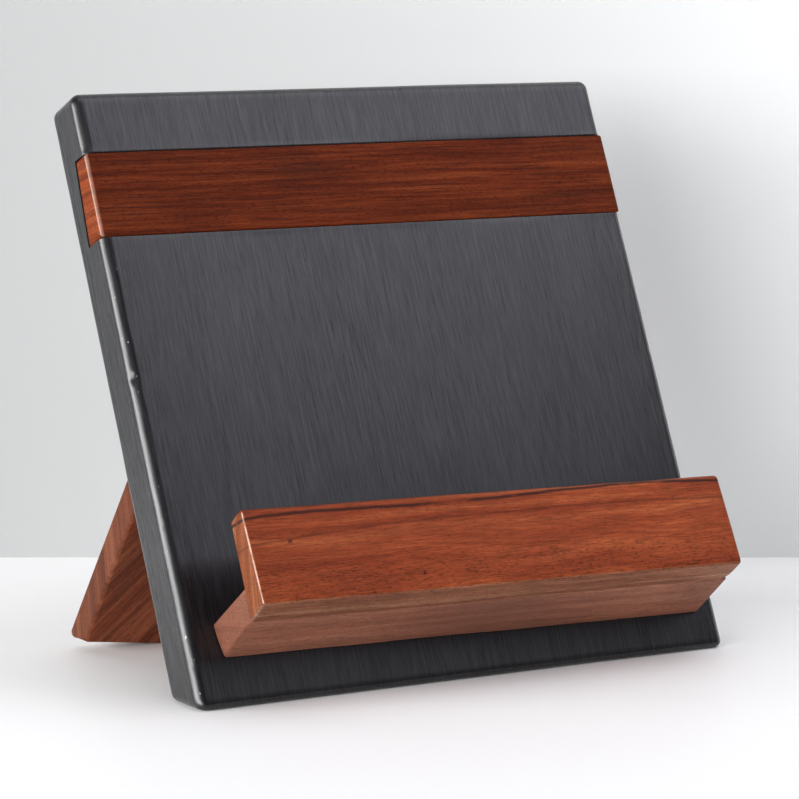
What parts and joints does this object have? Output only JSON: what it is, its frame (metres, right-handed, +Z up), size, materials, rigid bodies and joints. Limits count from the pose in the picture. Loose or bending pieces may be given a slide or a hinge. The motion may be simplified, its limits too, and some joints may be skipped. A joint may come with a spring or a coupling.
{
  "type": "tablet stand",
  "caption": "Wooden tablet stand: a thick black leaning panel with an inlaid brown band, a tipped ledge with a front lip, and a hinged easel leg that folds flat behind.",
  "frame": {"origin": "middle of the face that the panel stands on, on the table", "axes": "+X to the right as seen from the front, +Y to the back, +Z up"},
  "size_m": [0.26, 0.1799, 0.2433],
  "materials": {
    "black_wood": "satin black paint over open grain",
    "band_wood": "oiled, dark red-brown",
    "ledge_wood": "matt, pinkish brown",
    "lip_wood": "satin oil, orange-red brown",
    "leg_wood": "matt oil, red-brown",
    "dowel_wood": "plain",
    "brass_hinge": "aged, satin",
    "brass_screw": "satin",
    "zinc_screw": "zinc plated"
  },
  "bodies": {
    "stand": {"panel": "black_wood", "band": "band_wood", "ledge_shelf": "ledge_wood", "ledge_lip": "lip_wood", "lip_dowels": "dowel_wood", "ledge_screws": "zinc_screw", "left_panel_leaf": "brass_hinge", "left_hinge_pin": "brass_hinge", "left_panel_leaf_screws": "brass_screw", "right_panel_leaf": "brass_hinge", "right_hinge_pin": "brass_hinge", "right_panel_leaf_screws": "brass_screw"},
    "leg": {"leg": "leg_wood", "left_leg_leaf": "brass_hinge", "left_leg_leaf_screws": "brass_screw", "right_leg_leaf": "brass_hinge", "right_leg_leaf_screws": "brass_screw"}
  },
  "joints": [
    {"name": "leg_fold", "type": "hinge", "parent": "stand", "child": "leg", "pos_m": [0, 0.05532, 0.08533], "axis": [-1, 0, 0], "range_deg": [0, 61.5]}
  ]
}
